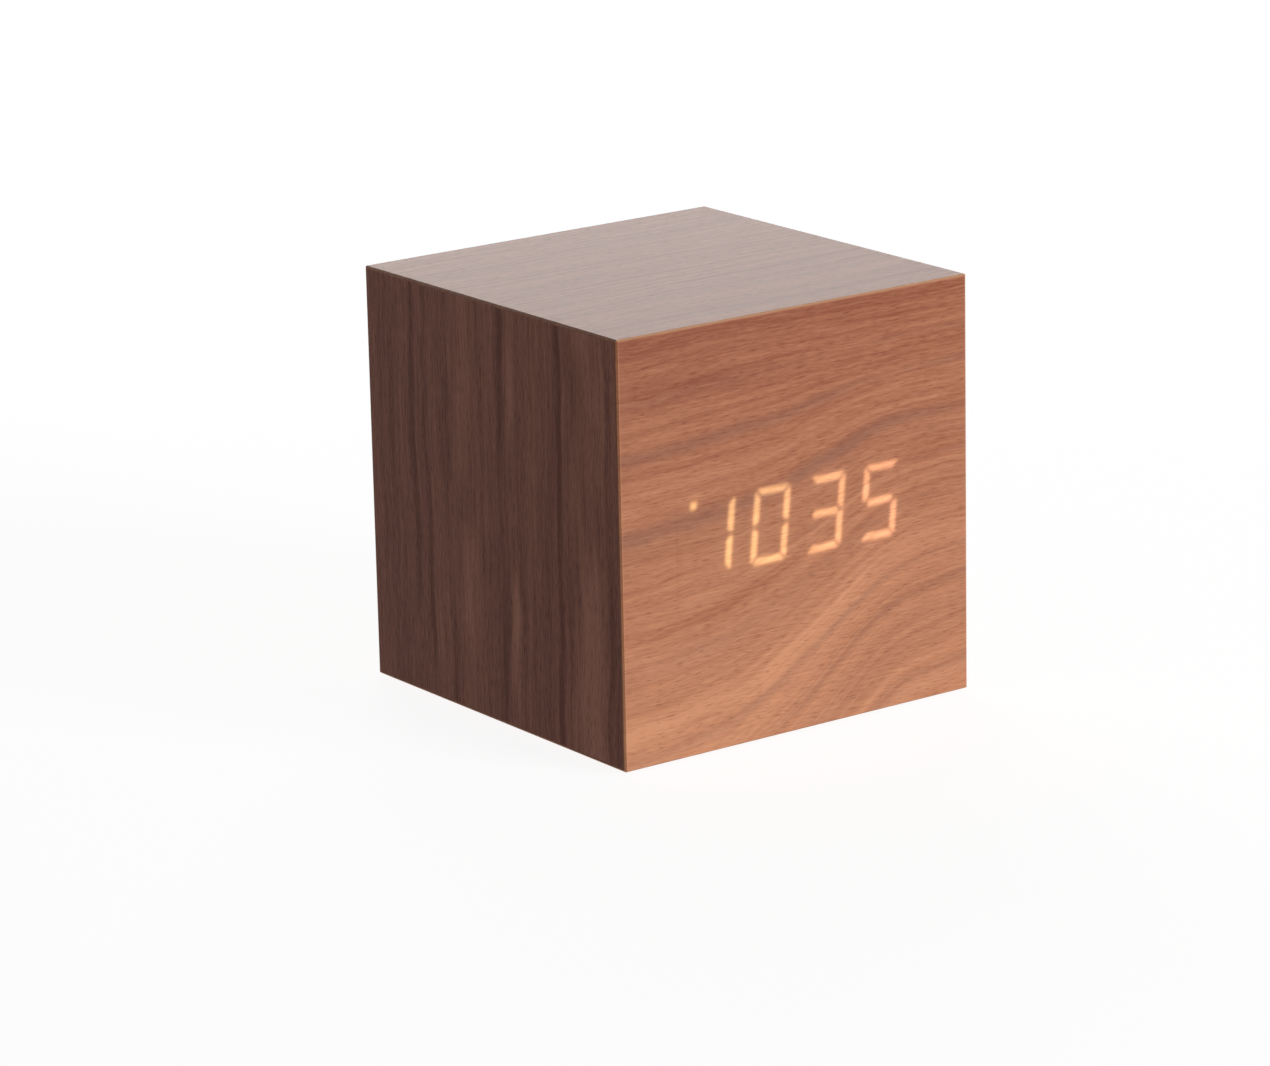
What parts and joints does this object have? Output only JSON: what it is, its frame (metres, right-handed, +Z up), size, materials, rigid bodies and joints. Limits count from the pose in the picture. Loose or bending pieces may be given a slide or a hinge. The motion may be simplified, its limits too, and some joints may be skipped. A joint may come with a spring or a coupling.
{
  "type": "cube alarm clock",
  "caption": "Cube alarm clock of walnut-veneered board with a lit time display shining through the front, rear buttons and power socket, and a battery compartment underneath.",
  "frame": {"origin": "middle of the footprint, on the table under the feet", "axes": "+Z up, display facing -Y, +X to the right as seen from the front"},
  "size_m": [0.08, 0.08, 0.0806],
  "materials": {
    "walnut_veneer": "satin",
    "fibreboard": "raw",
    "foot_rubber": "matte",
    "reflector_white": "moulded",
    "lit_resin": "cast",
    "dark_resin": "cast",
    "led_chip": "moulded",
    "circuit_board": "solder mask",
    "screw_steel": "zinc plated",
    "black_moulding": "fine texture",
    "button_black": "satin",
    "plunger_white": "moulded",
    "plated_steel": "nickel plated",
    "contact_brass": "plated",
    "cell_jacket": "plain wrapper",
    "ribbon_grey": "insulation",
    "lead_red": "insulation",
    "lead_black": "insulation"
  },
  "bodies": {
    "case": {"case_top_board": "fibreboard", "case_bottom_board": "fibreboard", "case_left_board": "fibreboard", "case_right_board": "fibreboard", "front_board": "fibreboard", "back_board": "fibreboard", "top_veneer": "walnut_veneer", "bottom_veneer": "walnut_veneer", "left_veneer": "walnut_veneer", "right_veneer": "walnut_veneer", "front_veneer": "walnut_veneer", "back_veneer": "walnut_veneer", "rubber_feet": "foot_rubber", "display_reflector": "reflector_white", "lit_lenses": "lit_resin", "dark_lenses": "dark_resin", "display_leds": "led_chip", "main_board": "circuit_board", "board_spacers": "reflector_white", "main_board_screws": "screw_steel", "clock_chip": "black_moulding", "timing_crystal": "plated_steel", "coin_holder": "black_moulding", "coin_cell": "plated_steel", "coin_clip": "contact_brass", "alarm_sounder": "black_moulding", "ribbon_headers": "reflector_white", "ribbon_cable": "ribbon_grey", "control_plate": "black_moulding", "control_plate_screws": "screw_steel", "control_board": "circuit_board", "control_board_screws": "screw_steel", "switch_bodies": "black_moulding", "usb_shell": "plated_steel", "usb_tongue": "black_moulding", "battery_box": "black_moulding", "battery_box_screws": "screw_steel", "battery_cells": "cell_jacket", "battery_springs": "plated_steel", "battery_plates": "contact_brass", "battery_lead_red": "lead_red", "battery_lead_black": "lead_black"},
    "set_button": {"set_button": "button_black", "set_plunger": "plunger_white"},
    "up_button": {"up_button": "button_black", "up_plunger": "plunger_white"},
    "down_button": {"down_button": "button_black", "down_plunger": "plunger_white"},
    "battery_door": {"battery_door": "black_moulding"}
  },
  "joints": [
    {"name": "set_press", "type": "slide", "parent": "case", "child": "set_button", "axis": [0, -1, 0], "range_m": [0, 0.0003], "stiffness_N_per_m": 1500, "springref_m": -0.0001},
    {"name": "up_press", "type": "slide", "parent": "case", "child": "up_button", "axis": [0, -1, 0], "range_m": [0, 0.0003], "stiffness_N_per_m": 1500, "springref_m": -0.0001},
    {"name": "down_press", "type": "slide", "parent": "case", "child": "down_button", "axis": [0, -1, 0], "range_m": [0, 0.0003], "stiffness_N_per_m": 1500, "springref_m": -0.0001},
    {"name": "battery_door_hinge", "type": "hinge", "parent": "case", "child": "battery_door", "pos_m": [-0.02505, 0, 0.0013], "axis": [0, 1, 0], "range_deg": [0, 40]}
  ]
}
